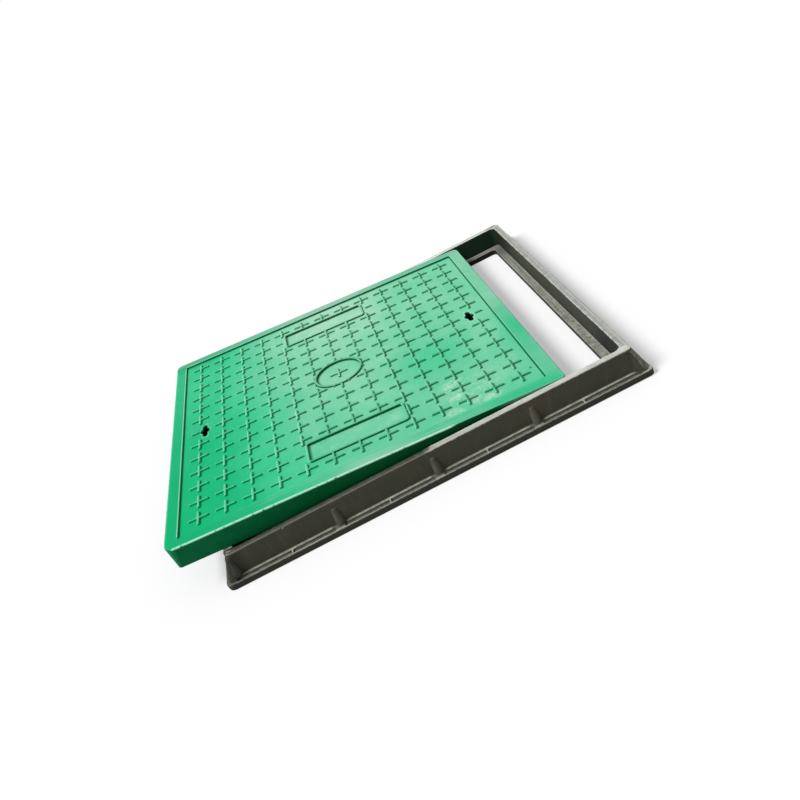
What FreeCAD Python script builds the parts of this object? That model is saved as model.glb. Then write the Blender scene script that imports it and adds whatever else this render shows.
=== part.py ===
import FreeCAD, Part
import math
import os

# Cable pit cover: a square moulded cover resting askew in its square moulded frame.
# Millimetres, +Z up, the frame's underside on Z = 0. The cover is slid towards -X, so that
# its +X end has dropped onto the seat and its -X end lies on the frame's rim.

# Cover, drawn flat about its own centre with its top at Z = 0
cover_side = 650.0
cover_thickness = 38.0
cover_draft = 2.5
cover_corner_radius = 12.0
cover_edge_round = 2.0
border_width = 22.5
panel_depth = 3.2
panel_corner_radius = 3.0

# Anti-slip crosses on the panel
cross_pitch = 45.0
cross_span = 33.0
cross_arm_width = 4.0
cross_height = 3.0
cross_margin = 12.0

# Name plates and the middle ring, bare inside
plate_row = 5
plate_length = 173.0
plate_width = 58.5
plate_corner_radius = 7.0
plate_side_gap = 6.0
ring_radius = 46.5
rim_bead_width = 4.2
rim_bead_height = 3.2
bead_floor_depth = 1.5

# Lifting-key holes: a slot across a round hole
key_hole_inset = 64.0
key_slot_length = 41.0
key_slot_width = 9.0
key_bore_radius = 9.0
key_clear_x = 11.0
key_clear_y = 4.5

# Frame
side_clearance = 5.0
cover_below_rim = 1.0
base_thickness = 11.0
seat_width = 15.5
rim_width = 12.5
wall_batter = 1.0
flange_width = 16.5
base_corner_radius = 15.0
opening_corner_radius = 6.0
mouth_corner_radius = 12.0
wall_corner_radius = 6.0
rim_edge_round = 1.2
base_edge_round = 1.5

# Ribs and corner gussets outside the wall
rib_spacing = 167.0
ribs_each_way = 1
rib_foot_radius = 7.5
rib_reach = 8.5
rib_top_radius = 6.0
rib_top_stand = 2.5
rib_top_drop = 11.0
gusset_foot_radius = 14.0
gusset_foot_inset = 2.5
gusset_top_radius = 5.0
gusset_top_inset = 4.0
gusset_top_drop = 4.0

# Shallow round-ended pockets in the flange, two between each rib and the next
pocket_width = 7.8
pocket_depth = 3.0
pocket_land = 5.0
pocket_rib_gap = 0.5
pocket_web = 3.0
pocket_corner_inset = 28.0

# How the cover lies: the open gap left at the +X wall, and the air under its two contacts
end_gap = 97.0
contact_gap = 0.2
sideways_share = 0.3

# Worked out from the values above
cover_half = cover_side / 2
cover_foot_half = cover_half - cover_draft
panel_half = cover_half - border_width
key_hole_x = cover_half - key_hole_inset
plate_y = plate_row * cross_pitch
frame_height = base_thickness + cover_thickness + cover_below_rim
mouth_half = cover_half + side_clearance
seat_level_half = cover_foot_half + side_clearance
clear_half = seat_level_half - seat_width
wall_top_half = mouth_half + rim_width
wall_foot_half = wall_top_half + wall_batter
base_half = wall_foot_half + flange_width
overlap = 1.0


def vec(x, y, z):
    return FreeCAD.Vector(x, y, z)


def rounded_rectangle(half_x, half_y, radius, z, centre_x=0.0, centre_y=0.0):
    """Closed wire: a rectangle with round corners, flat at height z."""
    edges = []
    diagonal = radius * math.sqrt(0.5)
    inner_x = half_x - radius
    inner_y = half_y - radius
    corners = [(1, 1, 0), (-1, 1, 1), (-1, -1, 0), (1, -1, 1)]
    previous = None
    first = None
    for sign_x, sign_y, starts_on_y in corners:
        middle = vec(centre_x + sign_x * inner_x, centre_y + sign_y * inner_y, z)
        on_x = middle + vec(sign_x * radius, 0, 0)
        on_y = middle + vec(0, sign_y * radius, 0)
        start, end = (on_y, on_x) if starts_on_y else (on_x, on_y)
        if previous is not None:
            edges.append(Part.LineSegment(previous, start).toShape())
        else:
            first = start
        mid = middle + vec(sign_x * diagonal, sign_y * diagonal, 0)
        edges.append(Part.Arc(start, mid, end).toShape())
        previous = end
    edges.append(Part.LineSegment(previous, first).toShape())
    return Part.Wire(edges)


def block(half_x, half_y, radius, low, high, centre_x=0.0, centre_y=0.0):
    """Upright block with round corners between two heights."""
    wire = rounded_rectangle(half_x, half_y, radius, low, centre_x, centre_y)
    return Part.Face(wire).extrude(vec(0, 0, high - low))


def tapered_block(low_half, high_half, low_radius, high_radius, low, high):
    """Square block whose sides lean between two heights."""
    low_wire = rounded_rectangle(low_half, low_half, low_radius, low)
    high_wire = rounded_rectangle(high_half, high_half, high_radius, high)
    return Part.makeLoft([low_wire, high_wire], True, True)


def box_about(half_x, half_y, low, high, centre_x=0.0, centre_y=0.0):
    corner = vec(centre_x - half_x, centre_y - half_y, low)
    return Part.makeBox(2 * half_x, 2 * half_y, high - low, corner)


def cross(centre_x, centre_y, low, high):
    """One raised cross, as a twelve-sided prism."""
    arm = cross_span / 2
    side = cross_arm_width / 2
    quarter = [(arm, -side), (arm, side), (side, side)]
    points = []
    for turn in range(4):
        for x, y in quarter:
            for _ in range(turn):
                x, y = -y, x
            points.append(vec(centre_x + x, centre_y + y, low))
    wire = Part.makePolygon(points + [points[0]])
    return Part.Face(wire).extrude(vec(0, 0, high - low))


def slot(length, width, low, high, centre_x=0.0, centre_y=0.0):
    """Upright slot along X with half-round ends."""
    half = (length - width) / 2
    middle = box_about(half, width / 2, low, high, centre_x, centre_y)
    ends = []
    for side in (-1, 1):
        centre = vec(centre_x + side * half, centre_y, low)
        ends.append(Part.makeCylinder(width / 2, high - low, centre))
    return middle.fuse(ends).removeSplitter()


def key_holes(low, high):
    """The two lifting-key holes, as solids to take away."""
    holes = []
    for side in (-1, 1):
        hole = slot(key_slot_length, key_slot_width, low, high)
        hole.rotate(vec(0, 0, 0), vec(0, 0, 1), 90)
        hole = hole.fuse(Part.makeCylinder(key_bore_radius, high - low, vec(0, 0, low)))
        hole.translate(vec(side * key_hole_x, 0, 0))
        holes.append(hole.removeSplitter())
    return holes


def places_clear_of_crosses(low, high):
    """What the crosses are trimmed back from: plates, ring and key holes."""
    places = [Part.makeCylinder(ring_radius, high - low, vec(0, 0, low))]
    for side in (-1, 1):
        places.append(box_about(plate_length / 2 + plate_side_gap, plate_width / 2, low, high,
                                0.0, side * plate_y))
        places.append(box_about(key_clear_x, key_slot_length / 2 + key_clear_y, low, high,
                                side * key_hole_x))
    return places


def cover_crosses(low, high):
    """All crosses of the panel, trimmed where a plate, ring or key hole stands."""
    each_way = int((panel_half - cross_margin - cross_span / 2) / cross_pitch)
    places = places_clear_of_crosses(low - overlap, high + overlap)
    crosses = []
    for row in range(-each_way, each_way + 1):
        for column in range(-each_way, each_way + 1):
            piece = cross(column * cross_pitch, row * cross_pitch, low, high)
            near = [place for place in places if piece.BoundBox.intersect(place.BoundBox)]
            if near:
                piece = piece.cut(near)
            crosses.extend(piece.Solids)
    return crosses


def make_cover():
    """The cover, flat, with its top on Z = 0."""
    floor = -panel_depth
    foot = -cover_thickness
    body = tapered_block(cover_foot_half, cover_half, cover_corner_radius - cover_draft,
                         cover_corner_radius, foot, 0.0)
    top_edges = [e for e in body.Edges if all(abs(v.Z) < 1e-6 for v in e.Vertexes)]
    body = body.makeFillet(cover_edge_round, top_edges)
    body = body.cut(block(panel_half, panel_half, panel_corner_radius, floor, overlap))

    bead_top = floor + rim_bead_height
    bead_floor = floor - bead_floor_depth
    raised = cover_crosses(floor - overlap, floor + cross_height)
    sunk = []
    for side in (-1, 1):
        outer = block(plate_length / 2, plate_width / 2, plate_corner_radius,
                      floor - overlap, bead_top, 0.0, side * plate_y)
        inner = block(plate_length / 2 - rim_bead_width, plate_width / 2 - rim_bead_width,
                      plate_corner_radius - rim_bead_width, bead_floor, bead_top + overlap,
                      0.0, side * plate_y)
        raised.append(outer.cut(inner))
        sunk.append(inner)
    ring = Part.makeCylinder(ring_radius, bead_top - floor + overlap, vec(0, 0, floor - overlap))
    well = Part.makeCylinder(ring_radius - rim_bead_width, bead_top - bead_floor + overlap,
                             vec(0, 0, bead_floor))
    raised.append(ring.cut(well))
    sunk.append(well)

    body = body.fuse(raised)
    body = body.cut(sunk)
    body = body.fuse(cross(0.0, 0.0, bead_floor - overlap, bead_floor + cross_height))
    body = body.cut(key_holes(foot - overlap, overlap))
    return body.removeSplitter().Solids[0]


def leaning_rib(foot_radius, foot_out, top_radius, top_out, top, turn):
    """A rounded rib against the wall: a cone leaning inwards, turned about Z to its side."""
    foot = vec(0, -foot_out, 0)
    axis = vec(0, -top_out, top) - foot
    rib = Part.makeCone(foot_radius, top_radius, axis.Length, foot, axis)
    rib.rotate(vec(0, 0, 0), vec(0, 0, 1), turn)
    return rib


def frame_ribs():
    """Ribs along each side and one gusset at each corner."""
    ribs = []
    rib_foot_out = wall_foot_half + rib_reach - rib_foot_radius
    rib_top_out = wall_top_half + rib_top_stand - rib_top_radius
    rib_top = frame_height - rib_top_drop
    gusset_top = frame_height - gusset_top_drop
    gusset_foot_out = math.sqrt(2) * (wall_foot_half - gusset_foot_inset)
    gusset_top_out = math.sqrt(2) * (wall_top_half - gusset_top_inset)
    for side in range(4):
        turn = 90 * side
        for place in range(-ribs_each_way, ribs_each_way + 1):
            rib = leaning_rib(rib_foot_radius, rib_foot_out, rib_top_radius, rib_top_out,
                              rib_top, 0)
            rib.translate(vec(place * rib_spacing, 0, 0))
            rib.rotate(vec(0, 0, 0), vec(0, 0, 1), turn)
            ribs.append(rib)
        ribs.append(leaning_rib(gusset_foot_radius, gusset_foot_out, gusset_top_radius,
                                gusset_top_out, gusset_top, turn + 45))
    return ribs


def flange_pockets():
    """Round-ended pockets in the flange's top, two in each bay with a thin web between."""
    pockets = []
    low = base_thickness - pocket_depth
    high = base_thickness + overlap
    out = wall_foot_half + pocket_land + pocket_width / 2
    rib_clear = rib_foot_radius + pocket_rib_gap
    stops = [place * rib_spacing for place in range(-ribs_each_way, ribs_each_way + 1)]
    corner = base_half - pocket_corner_inset
    starts = [-corner] + [stop + rib_clear for stop in stops]
    ends = [stop - rib_clear for stop in stops] + [corner]
    for start, end in zip(starts, ends):
        length = (end - start - pocket_web) / 2
        for centre_x in (start + length / 2, end - length / 2):
            for side in range(4):
                pocket = slot(length, pocket_width, low, high, centre_x, -out)
                pocket.rotate(vec(0, 0, 0), vec(0, 0, 1), 90 * side)
                pockets.append(pocket)
    return pockets


def edges_at(shape, height, low_half, high_half):
    """Edges at one height whose vertices lie between two squares about the centre."""
    found = []
    for edge in shape.Edges:
        reach = [max(abs(v.X), abs(v.Y)) for v in edge.Vertexes]
        level = all(abs(v.Z - height) < 1e-6 for v in edge.Vertexes)
        if level and min(reach) > low_half and max(reach) < high_half:
            found.append(edge)
    return found


def make_frame():
    """The frame about its own centre, with its underside on Z = 0."""
    base = block(base_half, base_half, base_corner_radius, 0.0, base_thickness)
    base = base.makeFillet(base_edge_round,
                           edges_at(base, base_thickness, wall_foot_half, base_half + overlap))
    base = base.cut(block(clear_half, clear_half, opening_corner_radius,
                          -overlap, base_thickness + overlap))
    base = base.cut(flange_pockets())

    wall = tapered_block(wall_foot_half, wall_top_half, wall_corner_radius + wall_batter,
                         wall_corner_radius, base_thickness - overlap, frame_height)
    mouth = tapered_block(seat_level_half, mouth_half, mouth_corner_radius - cover_draft,
                          mouth_corner_radius, base_thickness, frame_height)
    below = block(seat_level_half, seat_level_half, mouth_corner_radius - cover_draft,
                  base_thickness - 2 * overlap, base_thickness)
    wall = wall.cut(mouth).cut(below)
    rim_edges = edges_at(wall, frame_height, clear_half, base_half)
    wall = wall.makeFillet(rim_edge_round, rim_edges)

    body = base.fuse(wall)
    room = box_about(base_half, base_half, base_thickness - overlap, frame_height)
    for rib in frame_ribs():
        body = body.fuse(rib.common(room))
    return body.removeSplitter().Solids[0]


def rest_cover(cover):
    """Tip the cover onto the -X rim's inner edge and the seat under its +X end."""
    end_x = seat_level_half - end_gap
    rise = frame_height - base_thickness
    tilt = math.atan2(rise, end_x + mouth_half)
    centre_x = end_x - cover_foot_half * math.cos(tilt) + cover_thickness * math.sin(tilt)
    centre_z = (base_thickness + contact_gap + cover_foot_half * math.sin(tilt)
                + cover_thickness * math.cos(tilt))
    cover.rotate(vec(0, 0, 0), vec(0, 1, 0), math.degrees(tilt))
    cover.translate(vec(centre_x, -sideways_share * side_clearance, centre_z))
    return cover


def main():
    cover = rest_cover(make_cover())
    frame = make_frame()
    ends = [v.X for v in cover.Vertexes + frame.Vertexes]
    middle = (min(ends) + max(ends)) / 2
    os.makedirs("parts", exist_ok=True)
    for name, shape in (("cover", cover), ("frame", frame)):
        shape.translate(vec(-middle, 0, 0))
        shape.exportStep("parts/" + name + ".step")
        box = shape.BoundBox
        print(name, shape.isValid(), len(shape.Faces), round(shape.Volume / 1e6, 3), "litres",
              [round(v, 2) for v in (box.XMin, box.YMin, box.ZMin, box.XMax, box.YMax, box.ZMax)])


main()
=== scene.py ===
import math

import bmesh
import bpy
from mathutils import Matrix, Vector, noise


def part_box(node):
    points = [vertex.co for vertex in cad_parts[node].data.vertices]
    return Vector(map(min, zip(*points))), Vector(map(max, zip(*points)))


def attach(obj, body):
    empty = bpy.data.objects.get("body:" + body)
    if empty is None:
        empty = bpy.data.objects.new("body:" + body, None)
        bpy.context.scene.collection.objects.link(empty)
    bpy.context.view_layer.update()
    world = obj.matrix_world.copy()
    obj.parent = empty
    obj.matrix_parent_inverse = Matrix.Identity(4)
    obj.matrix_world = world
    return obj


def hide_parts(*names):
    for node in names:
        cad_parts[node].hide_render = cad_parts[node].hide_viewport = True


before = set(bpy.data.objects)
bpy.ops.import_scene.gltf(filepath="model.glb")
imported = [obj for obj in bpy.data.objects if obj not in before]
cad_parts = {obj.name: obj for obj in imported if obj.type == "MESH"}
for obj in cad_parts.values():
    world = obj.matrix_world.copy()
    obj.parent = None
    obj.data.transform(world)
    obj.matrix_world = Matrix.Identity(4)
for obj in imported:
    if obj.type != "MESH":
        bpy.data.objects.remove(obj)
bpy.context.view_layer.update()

# Shapes are in millimetres until a mesh is placed. Looks, lights and camera are in metres.
MM = 0.001

# Cover, flat about its own centre with its top at height 0
COVER_HALF = 325.0
COVER_THICKNESS = 38.0
COVER_DRAFT = 2.5
COVER_CORNER = 12.0
COVER_EDGE = 2.2
COVER_FOOT_EDGE = 1.2
BORDER = 22.5
PANEL_DEPTH = 3.2
PANEL_CORNER = 3.0
PANEL_EDGE = 0.9
PANEL_DRAFT = 0.35
PANEL_HALF = COVER_HALF - BORDER
FLOOR = -PANEL_DEPTH

# The photographed cover's own corner radii, at foot and top, and its edges out of line
COVER_NEAR_CORNERS = ((6.0, 22.0), (5.0, 6.0))
PANEL_NEAR_LEFT = 1.0
COVER_WANDER = 0.25
RIGHT_EDGE_OUT = 1.7
RIGHT_EDGE_SKEW = 0.7
RIGHT_EDGE_FROM = 310
LEFT_FOOT_IN = 4.0
LEFT_FOOT_FROM = -300

# Anti-slip crosses
PITCH = 45.0
CROSS_HALF_SPAN = 16.5
CROSS_HALF_WIDTH = 2.0
CROSS_HEIGHT = 3.0
CROSS_TIP_CUT = 0.7
CROSSES_EACH_WAY = 6

# Name plates, middle ring and their beads
PLATE_ROW = 5
PLATE_COLUMNS_EACH_WAY = 1
PLATE_HALF_LENGTH = 86.5
PLATE_HALF_WIDTH = 29.25
PLATE_CORNER = 7.0
PLATE_SIDE_GAP = 6.0
NEAR_PLATE_GAP_RIGHT = -1.0
RING_RADIUS = 47.2
RING_WIDTH = 5.4
RING_CLEARANCE = 0.8
BEAD_WIDTH = 4.2
BEAD_HEIGHT = 3.15
BEAD_FLOOR = FLOOR - 1.5

# Lifting-key holes
KEY_X = 261.0
KEY_SLOT_HALF = 20.5
KEY_SLOT_RADIUS = 4.5
KEY_BORE_RADIUS = 9.0
KEY_CLEAR_X = 11.7
KEY_CLEAR_Y = 25.0
KEY_RIM = 1.0

# Frame
FRAME_HEIGHT = 50.0
BASE_THICKNESS = 11.0
CLEAR_HALF = 312.0
SEAT_LEVEL_HALF = 327.5
MOUTH_HALF = 330.0
WALL_TOP_HALF = 342.5
WALL_FOOT_HALF = 343.5
BASE_HALF = 360.0
CLEAR_CORNER = 9.0
MOUTH_CORNER = 12.0
WALL_CORNER = 6.0
BASE_CORNER = 9.0
RIM_EDGE = 1.3
BASE_EDGE = 1.6
FRAME_FOOT_EDGE = 0.8
SEAT_EDGE = 1.2
SEAT_FILLET = 1.0
WALL_FILLET = 1.2
RIB_SPACING = 167.0
POCKET_HALF_WIDTH = 3.9
POCKET_DEPTH = 3.0
POCKET_END_RADIUS = 1.6
POCKET_INNER_LAND = 5.0
POCKET_CORNER_LAND = 18.0
POCKET_RIB_CLEAR = 8.0
POCKET_WEB = 3.0
POCKET_WEBS = (-247.0, -83.0, 80.5, 244.0)

# Ribs and gussets: radius and distance out at the foot, the same at the top, the top's height
RIB = (7.6, 345.4, 5.8, 338.9, 39.0)
GUSSET = (9.4, 491.4, 4.6, 476.5, 47.5)

# The photographed frame's own. Corners run far right, far left, near left, near right.
WALL_CORNERS_WIDER = (5.0, 0.0, 6.0, 0.0)
BASE_CORNERS_WIDER = (0.0, 0.0, 3.0, 0.0)
FRAME_WANDER = 0.3
NEAR_RIB_SHIFTS = (3.0, 1.5, 1.0)
NEAR_BOW = 1.6
NEAR_LEFT_IN = 2.4
NEAR_RIGHT_IN = 1.2
NEAR_FOOT_OUT = 1.3
NEAR_FOOT_MORE_OUT_RIGHT = 0.5

# Knocks: x, y, z, size and flatness
COVER_DENTS = [
    (293, -256, FLOOR + 0.3, 3.6, 2.6),
    (62, -209, BEAD_FLOOR + 0.2, 3.0, 1.4),
    (-51, -208, BEAD_FLOOR + 0.2, 2.2, 1.1),
]
FRAME_DENTS = [
    (-243, -343.2, 49.4, 3.6, 1.8),
    (-186, -361, 11.0, 4.0, 1.6),
    (331.5, 0, 50.6, 3.0, 1.4),
    (-341, -338, 50.4, 3.0, 1.6),
    (322, -60, 11.8, 2.6, 1.6),
]

# How the cover lies
END_GAP = 97.0
CONTACT_GAP = 0.2
SIDE_SHIFT = -1.5

# How the meshes are made
ARC_STEPS = 4
CORNER_STEPS = 8
ROUND_STEPS = 24
SIDE_STEPS = 48
WANDER_RATE = 0.02
WELD_DISTANCE = 0.01
SHARP_ANGLE = 38

# Lines that the looks follow, in metres
PANEL_LINE = PANEL_HALF * MM
PLATE_LINE = PLATE_ROW * PITCH * MM
RING_LINE = (RING_RADIUS - RING_WIDTH / 2) * MM
KEY_LINE = KEY_X * MM
RIB_LINE = RIB_SPACING * MM

# Light and camera
LAMP_AZIMUTH = -92
LAMP_ELEVATION = 52
LAMP_SPREAD = 25
LAMP_STRENGTH = 2.75
WORLD_LEVEL = 0.36
STUDIO_HALF = 12.0
CAMERA_PLACE = (0.0713, -1.3592, 0.72664)
CAMERA_AZIMUTH = 1.453
CAMERA_ELEVATION = 31.8145
CAMERA_ROLL = 26.423
CAMERA_LENS = 36.96
CAMERA_SHIFT = (-0.0733, 0.0094)


def rest_places():
    """Matrices from each piece's own millimetres to the row's metres."""
    low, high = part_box("frame")
    frame_x = (low[0] + high[0]) / 2
    foot_half = COVER_HALF - COVER_DRAFT
    end_x = SEAT_LEVEL_HALF - END_GAP
    tilt = math.atan2(FRAME_HEIGHT - BASE_THICKNESS, end_x + MOUTH_HALF)
    x = end_x - foot_half * math.cos(tilt) + COVER_THICKNESS * math.sin(tilt)
    z = BASE_THICKNESS + CONTACT_GAP
    z += foot_half * math.sin(tilt) + COVER_THICKNESS * math.cos(tilt)
    row = Matrix.Translation((frame_x, 0, 0)) @ Matrix.Scale(MM, 4)
    lie = Matrix.Translation((x, SIDE_SHIFT, z)) @ Matrix.Rotation(tilt, 4, "Y")
    return row @ lie, row


# Outlines and meshes

def part_way(value, start, end):
    """How far a value has come from start to end, from 0 to 1."""
    return min(1.0, max(0.0, (value - start) / (end - start)))


def arc(centre, height, radius, start, end, steps=ARC_STEPS):
    """Points of a section's round stretch, as (distance out, height)."""
    points = []
    for step in range(steps + 1):
        angle = math.radians(start + (end - start) * step / steps)
        points.append((centre + radius * math.cos(angle), height + radius * math.sin(angle)))
    return points


def outline(half_x, half_y, radius, centre=(0, 0), corner_steps=CORNER_STEPS, side_steps=1):
    """Points of a round-cornered rectangle, anticlockwise; radius may be one per corner."""
    radii = radius if isinstance(radius, tuple) else (radius,) * 4

    def on_corner(quarter, angle):
        bend = radii[quarter]
        sign_x, sign_y = ((1, 1), (-1, 1), (-1, -1), (1, -1))[quarter]
        middle = Vector((sign_x * (half_x - bend), sign_y * (half_y - bend)))
        return middle + bend * Vector((math.cos(angle), math.sin(angle)))

    points = []
    for quarter in range(4):
        for step in range(corner_steps + 1):
            angle = math.radians(90 * (quarter + step / corner_steps))
            points.append(on_corner(quarter, angle))
        start = points[-1]
        following = on_corner((quarter + 1) % 4, math.radians(90 * (quarter + 1)))
        for step in range(1, side_steps):
            points.append(start.lerp(following, step / side_steps))
    offset = Vector(centre)
    return [point + offset for point in points]


def wandered(points, half, seed, amount):
    """An outline with the slow inward wander of a moulded edge, the same on every run."""
    result = []
    for point in points:
        where = Vector((point.x * WANDER_RATE, point.y * WANDER_RATE, seed))
        inward = amount * min(1.0, max(0.0, 0.5 + noise.noise(where)))
        result.append(point * (1 - inward / half))
    return result


def grown(points, amount):
    """The same outline moved outwards by an amount, corner by corner."""
    result = []
    count = len(points)
    for index in range(count):
        before = (points[index] - points[index - 1]).normalized()
        after = (points[(index + 1) % count] - points[index]).normalized()
        normal_in = Vector((before.y, -before.x))
        normal_out = Vector((after.y, -after.x))
        miter = (normal_in + normal_out).normalized()
        stretch = max(0.35, miter.dot(normal_in))
        result.append(points[index] + miter * (amount / stretch))
    return result


def add_stack(bm, rings, loop=False):
    """Skins a stack of outlines, capped at both ends or joined into a loop."""
    layers = []
    for points, height in rings:
        layers.append([bm.verts.new((point.x, point.y, height)) for point in points])
    count = len(layers[0])
    pairs = list(zip(layers, layers[1:]))
    if loop:
        pairs.append((layers[-1], layers[0]))
    for lower, upper in pairs:
        for index in range(count):
            following = (index + 1) % count
            bm.faces.new((lower[index], lower[following], upper[following], upper[index]))
    if not loop:
        bm.faces.new(list(reversed(layers[0])))
        bm.faces.new(layers[-1])


def add_grown_stack(bm, base, profile):
    """Skins an outline that is grown by a different amount at each height."""
    add_stack(bm, [(grown(base, amount), height) for amount, height in profile])


def new_piece(name, bm):
    """Turns a finished bmesh into an object at the origin."""
    bmesh.ops.recalc_face_normals(bm, faces=bm.faces)
    mesh = bpy.data.meshes.new(name)
    bm.to_mesh(mesh)
    bm.free()
    piece = bpy.data.objects.new(name, mesh)
    bpy.context.scene.collection.objects.link(piece)
    return piece


def combine(piece, tool, operation):
    """Joins a tool to a piece or cuts it away, and drops the tool."""
    modifier = piece.modifiers.new(operation, "BOOLEAN")
    modifier.operation = operation
    modifier.solver = "EXACT"
    modifier.object = tool
    bpy.context.view_layer.update()
    depsgraph = bpy.context.evaluated_depsgraph_get()
    mesh = bpy.data.meshes.new_from_object(piece.evaluated_get(depsgraph))
    old = piece.data
    piece.modifiers.clear()
    piece.data = mesh
    bpy.data.meshes.remove(old)
    spent = tool.data
    bpy.data.objects.remove(tool)
    bpy.data.meshes.remove(spent)


def settle(piece, matrix):
    """Places a finished mesh in the row frame and smooths its rounded edges."""
    bm = bmesh.new()
    bm.from_mesh(piece.data)
    bmesh.ops.remove_doubles(bm, verts=bm.verts, dist=WELD_DISTANCE)
    bmesh.ops.dissolve_degenerate(bm, edges=bm.edges, dist=WELD_DISTANCE)
    bmesh.ops.triangulate(bm, faces=[face for face in bm.faces if len(face.verts) > 4])
    bm.to_mesh(piece.data)
    bm.free()
    piece.data.transform(matrix)
    piece.data.update()
    piece.data.shade_smooth()
    piece.data.set_sharp_from_angle(angle=math.radians(SHARP_ANGLE))
    weighted = piece.modifiers.new("even_normals", "WEIGHTED_NORMAL")
    weighted.keep_sharp = True
    weighted.weight = 100


def dents(places):
    """Small knocks, as squashed and roughened balls to cut away."""
    bm = bmesh.new()
    for index, (x, y, z, size, flat) in enumerate(places):
        matrix = Matrix.Translation((x, y, z)) @ Matrix.Diagonal((size, size * 0.7, flat, 1))
        made = bmesh.ops.create_icosphere(bm, subdivisions=2, radius=1.0, matrix=matrix)
        for vert in made["verts"]:
            vert.co += noise.noise_vector(vert.co * 0.4 + Vector((index, 0, 0))) * 0.25 * size
    return new_piece("dents", bm)


# Cover

def cover_slab():
    """Drafted slab with a rounded top edge and a sunk panel."""
    foot = COVER_HALF - COVER_DRAFT - COVER_FOOT_EDGE
    side_top = COVER_HALF - COVER_DRAFT / COVER_THICKNESS * COVER_EDGE
    panel_foot = PANEL_HALF - PANEL_DRAFT - PANEL_EDGE
    profile = arc(foot, -COVER_THICKNESS + COVER_FOOT_EDGE, COVER_FOOT_EDGE, -90, 0)
    profile += arc(side_top - COVER_EDGE, -COVER_EDGE, COVER_EDGE, 0, 90)
    profile += arc(PANEL_HALF + PANEL_EDGE, -PANEL_EDGE, PANEL_EDGE, 90, 180)
    profile += arc(panel_foot, FLOOR + PANEL_EDGE, PANEL_EDGE, 0, -90)

    rings = []
    for half, height in profile:
        outside = half > PANEL_HALF + 2 * PANEL_EDGE
        radius = (PANEL_CORNER, PANEL_CORNER, PANEL_NEAR_LEFT, PANEL_CORNER)
        if outside:
            far = COVER_CORNER + half - COVER_HALF
            risen = 1 + height / COVER_THICKNESS
            near = [low + (high - low) * risen for low, high in COVER_NEAR_CORNERS]
            radius = (far, far, *near)
        points = outline(half, half, radius, side_steps=SIDE_STEPS)
        if outside:
            points = wandered(points, half, 1.7, COVER_WANDER)
        rings.append((points, height))
    bm = bmesh.new()
    add_stack(bm, rings)
    return new_piece("cover_moulding", bm)


def cross_outline(x, y):
    """A cross with slightly broken corners at the ends of its arms."""
    arm = CROSS_HALF_SPAN
    side = CROSS_HALF_WIDTH
    cut = CROSS_TIP_CUT
    quarter = [(arm - cut, -side), (arm, -side + cut), (arm, side - cut), (arm - cut, side),
               (side, side)]
    points = []
    for turn in range(4):
        for across, along in quarter:
            for _ in range(turn):
                across, along = -along, across
            points.append(Vector((x + across, y + along)))
    return points


def add_cross(bm, x, y, floor):
    """One cross with drafted sides and a rounded top."""
    top = floor + CROSS_HEIGHT
    add_grown_stack(bm, cross_outline(x, y), [
        (0.45, floor - 1.0), (0.3, floor + 0.15), (-0.1, top - 0.8), (-0.3, top - 0.3),
        (-0.75, top)])


def crosses():
    """The panel's crosses, but for those under the plates and the ring's own."""
    bm = bmesh.new()
    places = range(-CROSSES_EACH_WAY, CROSSES_EACH_WAY + 1)
    for row in places:
        for column in places:
            hidden = abs(row) == PLATE_ROW and abs(column) <= PLATE_COLUMNS_EACH_WAY
            hidden = hidden or (row == 0 and column == 0)
            if not hidden:
                add_cross(bm, column * PITCH, row * PITCH, FLOOR)
    return new_piece("crosses", bm)


def places_clear_of_crosses():
    """What is cut from the crosses round the ring, the plates and the key holes."""
    bm = bmesh.new()
    clear = RING_RADIUS + RING_CLEARANCE
    shapes = [outline(clear, clear, clear, corner_steps=ROUND_STEPS)]
    for side, gap_right in ((-1, NEAR_PLATE_GAP_RIGHT), (1, PLATE_SIDE_GAP)):
        half = PLATE_HALF_LENGTH + (PLATE_SIDE_GAP + gap_right) / 2
        middle = ((gap_right - PLATE_SIDE_GAP) / 2, side * PLATE_ROW * PITCH)
        shapes.append(outline(half, PLATE_HALF_WIDTH - 0.3, 0.5, middle))
        shapes.append(outline(KEY_CLEAR_X, KEY_CLEAR_Y, 0.5, (side * KEY_X, 0)))
    for shape in shapes:
        add_stack(bm, [(shape, FLOOR - 5), (shape, FLOOR + 9)])
    return new_piece("clear_places", bm)


def bead_shapes():
    """The two plates and the ring: an outline for each inset, and a bead width."""
    def plate(side):
        return lambda inset: outline(PLATE_HALF_LENGTH - inset, PLATE_HALF_WIDTH - inset,
                                     PLATE_CORNER - inset, (0, side * PLATE_ROW * PITCH))

    def ring(inset):
        radius = RING_RADIUS - inset
        return outline(radius, radius, radius, corner_steps=ROUND_STEPS)

    return [(plate(-1), BEAD_WIDTH), (plate(1), BEAD_WIDTH), (ring, RING_WIDTH)]


def bead_wells():
    """What is cut from the panel inside each bead."""
    bm = bmesh.new()
    for shape, width in bead_shapes():
        inside = shape(width / 2)
        add_stack(bm, [(inside, BEAD_FLOOR), (inside, FLOOR + 4)])
    return new_piece("bead_wells", bm)


def beads():
    """Rounded beads round the two plates and the middle."""
    bm = bmesh.new()
    top = FLOOR + BEAD_HEIGHT
    for shape, width in bead_shapes():
        profile = [(-0.1, FLOOR - 1), (0.0, FLOOR + 0.2), (0.35, top - 0.7), (0.7, top - 0.2),
                   (1.3, top), (width - 1.3, top), (width - 0.7, top - 0.2),
                   (width - 0.35, top - 0.7), (width, BEAD_FLOOR + 0.3),
                   (width + 0.2, BEAD_FLOOR - 1)]
        add_stack(bm, [(shape(inset), height) for inset, height in profile], loop=True)
    return new_piece("beads", bm)


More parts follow.
